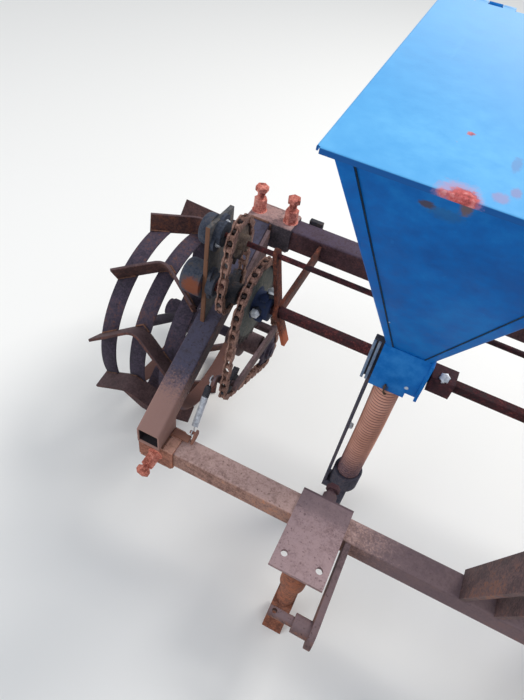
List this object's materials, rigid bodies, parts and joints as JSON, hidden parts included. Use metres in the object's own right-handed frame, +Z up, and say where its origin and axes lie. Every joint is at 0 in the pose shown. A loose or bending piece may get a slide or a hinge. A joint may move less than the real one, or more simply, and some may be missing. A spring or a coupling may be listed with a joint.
{
  "type": "tractor-mounted row seed drill",
  "caption": "Tractor-mounted row seed drill with tapered hoppers, hose-fed seed boots, tines and a chain drive from a lugged cage wheel.",
  "frame": {"origin": "on the ground, at the middle of the machine's bounding box", "axes": "+Z up, X along the tool bars, -Y the way the machine travels; left means -X, the left of the picture"},
  "size_m": [2.162, 0.9714, 1.221],
  "materials": {
    "rusted_steel": "rough brown rust over the worn paint",
    "orange_rusted_steel": "bright rust",
    "grey_steel": "worn grey paint",
    "blue_paint": "weathered gloss",
    "zinc": "zinc plated",
    "shaft_steel": "dark red-brown rust",
    "hose_plastic": "faded"
  },
  "bodies": {
    "frame": {"front_bar": "rusted_steel", "rear_bar": "rusted_steel", "front_sleeve_left": "rusted_steel", "front_sleeve_right": "rusted_steel", "rear_sleeve_left": "rusted_steel", "rear_sleeve_right": "rusted_steel", "side_arm_left": "rusted_steel", "side_arm_right": "rusted_steel", "bearing_plate": "grey_steel", "shaft_bearings": "grey_steel", "wheel_hanger_left": "rusted_steel", "wheel_hanger_right": "rusted_steel", "headstock": "rusted_steel", "lower_hitch_left": "rusted_steel", "lower_hitch_right": "rusted_steel", "row_plate_left": "rusted_steel", "row_plate_right": "rusted_steel", "tine_left": "orange_rusted_steel", "tine_right": "orange_rusted_steel", "hopper_left": "blue_paint", "hopper_right": "blue_paint", "meter_left": "blue_paint", "meter_right": "blue_paint", "meter_bracket_left": "rusted_steel", "meter_bracket_right": "rusted_steel", "seed_hose_left": "hose_plastic", "seed_hose_right": "hose_plastic", "hose_socket_left": "grey_steel", "hose_socket_right": "grey_steel", "seed_boot_left": "grey_steel", "seed_boot_right": "grey_steel", "shaft_hangers": "rusted_steel", "drive_chain": "orange_rusted_steel", "short_chain": "rusted_steel", "chain_tensioner": "rusted_steel", "tension_spring": "zinc"},
    "drive_wheel": {"wheel_left": "rusted_steel", "axle_left": "rusted_steel"},
    "support_wheel": {"wheel_right": "rusted_steel", "axle_right": "rusted_steel"},
    "meter_drive": {"meter_shaft": "shaft_steel", "big_sprocket": "grey_steel", "short_sprocket_low": "rusted_steel", "shaft_couplers": "rusted_steel"},
    "stir_drive": {"stir_shaft": "shaft_steel", "short_sprocket_high": "rusted_steel"},
    "idler": {"idler_sprocket": "rusted_steel"},
    "hopper_lid_left": {"lid_left": "blue_paint"},
    "hopper_lid_right": {"lid_right": "blue_paint"}
  },
  "joints": [
    {"name": "drive_wheel_spin", "type": "hinge", "parent": "frame", "child": "drive_wheel", "pos_m": [-0.966, 0.17425, 0.31191], "axis": [1, 0, 0], "continuous": true},
    {"name": "support_wheel_spin", "type": "hinge", "parent": "frame", "child": "support_wheel", "pos_m": [0.966, 0.17425, 0.31191], "axis": [1, 0, 0], "continuous": true},
    {"name": "meter_shaft_spin", "type": "hinge", "parent": "frame", "child": "meter_drive", "pos_m": [-0.7, 0.01425, 0.637], "axis": [1, 0, 0], "continuous": true},
    {"name": "stir_shaft_spin", "type": "hinge", "parent": "frame", "child": "stir_drive", "pos_m": [-0.764, 0.03625, 0.766], "axis": [1, 0, 0], "continuous": true},
    {"name": "idler_spin", "type": "hinge", "parent": "frame", "child": "idler", "pos_m": [-0.7, -0.07375, 0.437], "axis": [1, 0, 0], "continuous": true},
    {"name": "lid_left_hinge", "type": "hinge", "parent": "frame", "child": "hopper_lid_left", "pos_m": [-0.35, 0.33625, 1.215], "axis": [-1, 0, 0], "range_deg": [0, 100]},
    {"name": "lid_right_hinge", "type": "hinge", "parent": "frame", "child": "hopper_lid_right", "pos_m": [0.35, 0.33625, 1.215], "axis": [-1, 0, 0], "range_deg": [0, 100]}
  ],
  "couplings": [
    {"joint": "meter_shaft_spin", "follows": "drive_wheel_spin", "ratio": 0.5},
    {"joint": "stir_shaft_spin", "follows": "drive_wheel_spin", "ratio": 0.5},
    {"joint": "idler_spin", "follows": "drive_wheel_spin", "ratio": 1.3333}
  ]
}
